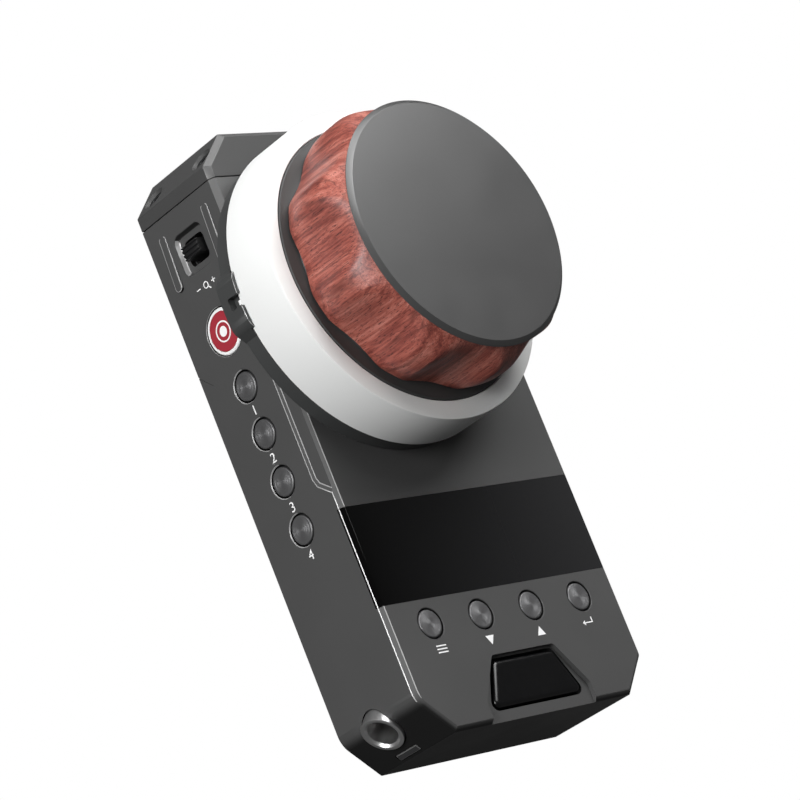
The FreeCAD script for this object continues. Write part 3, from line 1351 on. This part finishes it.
def build_flange():
    """Knob flange: drum inside the marking ring, hub and stop lug."""
    body = make_body("knob_flange", knob_place)
    radius = D["flange_radius"]
    top = D["flange_top_z"]
    low = D["flange_low_z"]
    shelf = low + D["ring_lip_height"]
    hub_low = D["tube_top_z"] + D["bush_flange"] + D["press_gap"]
    bevel = D["edge_bevel"] / 2
    revolve(body, "flange_turned", [
        (D["shaft_radius"] + D["fit_gap"] / 8, hub_low), (D["flange_hub"], hub_low),
        (D["flange_hub"], flange_under), (D["flange_hollow"], flange_under),
        (D["flange_hollow"], low), (radius + D["ring_lip"], low),
        (radius + D["ring_lip"], shelf), (radius, shelf), (radius, top - bevel),
        (radius - bevel, top), (D["grip_seat"], top), (D["grip_seat"], D["grip_low_z"]),
        (D["shaft_radius"] + D["fit_gap"] / 8, D["grip_low_z"])])
    lug = make_sketch(body, "lug_outline", height=D["stop_lug_low_z"])
    inner = D["stop_ring"] - D["stop_radius"] * 1.4
    angle = D["stop_lug_angle"]
    far = D["flange_hollow"] + 1
    side = angle * 0.5
    corners = []
    for radius_here, turn in ((far, -angle), (far, -side), (far, angle * 0), (far, side),
                              (far, angle), (inner, angle), (inner, side),
                              (inner, angle * 0), (inner, -side), (inner, -angle)):
        corners.append((radius_here * sine(turn), -(radius_here * cosine(turn))))
    add_polygon(lug, corners)
    pad(body, "stop_lug", lug, flange_under - D["stop_lug_low_z"] + 1)
    holes = make_sketch(body, "knob_screw_holes", height=flange_under)
    for x, y in ring_spots(D["knob_screw_ring"], 90, 3):
        add_circle(holes, D["knob_screw_radius"] + D["fit_gap"], x, y)
    pocket(body, "knob_screw_cut", holes, D["flange_web"] * 2, reverse=True)


def build_grip():
    """Turned wood grip with nine finger scallops."""
    body = make_body("wood_grip", knob_place)
    low = D["grip_low_z"]
    high = D["grip_top_z"]
    revolve(body, "grip_turned", [
        (D["grip_bore"], low), (D["grip_r_low"], low), (D["grip_r_knee"], D["grip_knee_z"]),
        (D["grip_r_max"], D["grip_belly_z"]), (D["grip_r_upper"], D["grip_upper_z"]),
        (D["grip_r_chamfer"], D["grip_chamfer_z"]), (D["grip_r_top"], high),
        (D["grip_bore"], high)])
    scoop = make_sketch(body, "scallop_outline", height=low - 1)
    reach = D["scallop_valley"] + D["scallop_radius"]
    angle = D["scallop_angle"]
    add_circle(scoop, D["scallop_radius"], reach * cosine(angle), reach * sine(angle))
    cut = pocket(body, "scallop", scoop, high - low + 2, reverse=True)
    polar(body, "scallops", cut, D["scallop_count"].value)
    holes = make_sketch(body, "grip_screw_holes", height=low)
    for x, y in ring_spots(D["knob_screw_ring"], 90, 3):
        add_circle(holes, D["knob_screw_radius"] + D["fit_gap"] / 2, x, y)
    pocket(body, "grip_screw_cut", holes, D["knob_screw_top_z"] - low + 1, reverse=True)


def build_knob_rest():
    """Cap, screws, shaft, clip and encoder disc of the knob."""
    body = make_body("knob_cap", knob_place)
    radius = D["cap_radius"]
    top = D["cap_top_z"]
    bevel = D["cap_chamfer"]
    seat = D["grip_top_z"]
    revolve(body, "cap_turned", [
        (0, D["cap_spigot_low_z"]), (D["cap_spigot"], D["cap_spigot_low_z"]),
        (D["cap_spigot"], seat), (D["cap_seat"], seat), (D["cap_seat"], D["cap_low_z"]),
        (radius, D["cap_low_z"]), (radius, top - bevel), (radius - bevel, top), (0, top)])
    body = make_body("knob_shaft", knob_place)
    shaft = D["shaft_radius"]
    clip_z = D["tube_low_z"] - D["bush_flange"] - D["press_gap"] - D["clip_thickness"]
    groove = shaft * 0.85
    gap = D["fit_gap"] / 2
    revolve(body, "shaft_turned", [
        (0, D["shaft_low_z"]), (shaft, D["shaft_low_z"]), (shaft, clip_z - gap),
        (groove, clip_z - gap), (groove, clip_z + D["clip_thickness"] + gap),
        (shaft, clip_z + D["clip_thickness"] + gap), (shaft, D["grip_low_z"] - gap),
        (0, D["grip_low_z"] - gap)])
    body = make_body("shaft_clip", knob_place)
    revolve(body, "clip_turned", [
        (groove, clip_z), (D["clip_radius"], clip_z),
        (D["clip_radius"], clip_z + D["clip_thickness"]),
        (groove, clip_z + D["clip_thickness"])])
    body = make_body("encoder_disc", knob_place)
    plate = D["encoder_z"]
    hub = shaft + D["bush_wall"] / 2
    revolve(body, "disc_turned", [
        (shaft, plate - D["encoder_thickness"]), (hub, plate - D["encoder_thickness"]),
        (hub, plate), (D["encoder_radius"], plate),
        (D["encoder_radius"], plate + D["encoder_thickness"]),
        (shaft, plate + D["encoder_thickness"])])
    body = make_body("knob_screws", knob_place)
    heads = make_sketch(body, "knob_heads", height=flange_under)
    shanks = make_sketch(body, "knob_shanks", height=flange_under)
    for x, y in ring_spots(D["knob_screw_ring"], 90, 3):
        add_circle(heads, D["knob_screw_head"], x, y)
        add_circle(shanks, D["knob_screw_radius"], x, y)
    pad(body, "knob_head_pad", heads, D["knob_screw_head"], reverse=True)
    pad(body, "knob_shank_pad", shanks, D["knob_screw_top_z"] - flange_under)


# ---------------------------------------------------------------- build and export

build_case()
build_top_cap()
build_cap_screws()
build_back_cover()
build_cover_screws()
build_tripod_insert()
build_glass()
build_display()
build_keys()
build_thumb_key()
build_front_board()
build_front_switches()
build_side_buttons()
build_record_button()
build_side_board()
build_inside()
build_socket()
build_port_cover()
build_zoom()
build_index_ring()
build_index_parts()
build_marking_ring()
build_flange()
build_grip()
build_knob_rest()
doc.recompute()

for item in doc.Objects:
    for mark in ("Invalid", "Error"):
        if mark in item.State:
            raise RuntimeError("%s did not compute: %s" % (item.Label, item.State))
for body in NODES:
    if body.Shape.isNull() or not body.Shape.isValid():
        raise RuntimeError("%s has no valid shape" % body.Label)
    if body.Shape.Volume <= 0:
        raise RuntimeError("%s is empty" % body.Label)

os.makedirs("parts", exist_ok=True)
for body in NODES:
    body.Shape.exportStep("parts/%s.step" % body.Label)
print("%d nodes written" % len(NODES))
